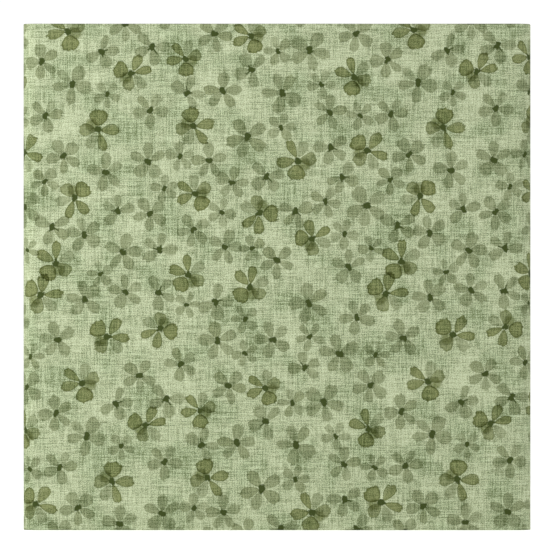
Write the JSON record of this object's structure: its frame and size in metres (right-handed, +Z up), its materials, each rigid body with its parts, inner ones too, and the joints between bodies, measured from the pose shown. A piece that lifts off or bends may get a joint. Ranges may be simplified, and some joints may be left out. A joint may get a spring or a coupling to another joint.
{
  "type": "fabric bolt",
  "caption": "Square-faced bolt of quarter-folded cotton wound flat on a hollow corrugated board, standing on its end, with its free end pinned down on the back.",
  "frame": {"origin": "on the surface the bolt stands on, under the middle of the whole part, pin heads included", "axes": "+Z up along the board and the folded edge of the cloth; the clean front face looks along -Y and the pinned free end lies on the +Y side; X runs across the front face"},
  "size_m": [0.2868, 0.0396, 0.286],
  "materials": {
    "cotton": "matte",
    "kraft_liner": "matte",
    "fluted_kraft": "matte",
    "rib_card": "matte",
    "panel_card": "matte",
    "label_paper": "satin",
    "pin_steel": "polished",
    "pin_head": "gloss"
  },
  "bodies": {
    "roll": {"cloth_roll": "cotton"},
    "tail": {"cloth_tail": "cotton"},
    "board": {"board_outer_liner": "kraft_liner", "board_inner_liner": "kraft_liner", "board_flutes_front": "fluted_kraft", "board_flutes_back": "fluted_kraft", "rib_left": "rib_card", "rib_middle": "rib_card", "rib_right": "rib_card", "end_panel_top": "panel_card", "end_panel_foot": "panel_card", "end_label": "label_paper"},
    "pin_1": {"pin_shaft_1": "pin_steel", "pin_head_1": "pin_head"},
    "pin_2": {"pin_shaft_2": "pin_steel", "pin_head_2": "pin_head"}
  },
  "joints": [
    {"name": "board_slide", "type": "slide", "parent": "roll", "child": "board", "axis": [0, 0, 1], "range_m": [0, 0.28]},
    {"name": "tail_fold", "type": "hinge", "parent": "roll", "child": "tail", "pos_m": [0.1331, 0.01518, 0], "axis": [0, 0, -1], "range_deg": [0, 165]},
    {"name": "pin_1_pull", "type": "slide", "parent": "tail", "child": "pin_1", "axis": [0.9659, 0.2588, 0], "range_m": [0, 0.03]},
    {"name": "pin_2_pull", "type": "slide", "parent": "tail", "child": "pin_2", "axis": [0.9659, 0.2588, 0], "range_m": [0, 0.03]}
  ]
}
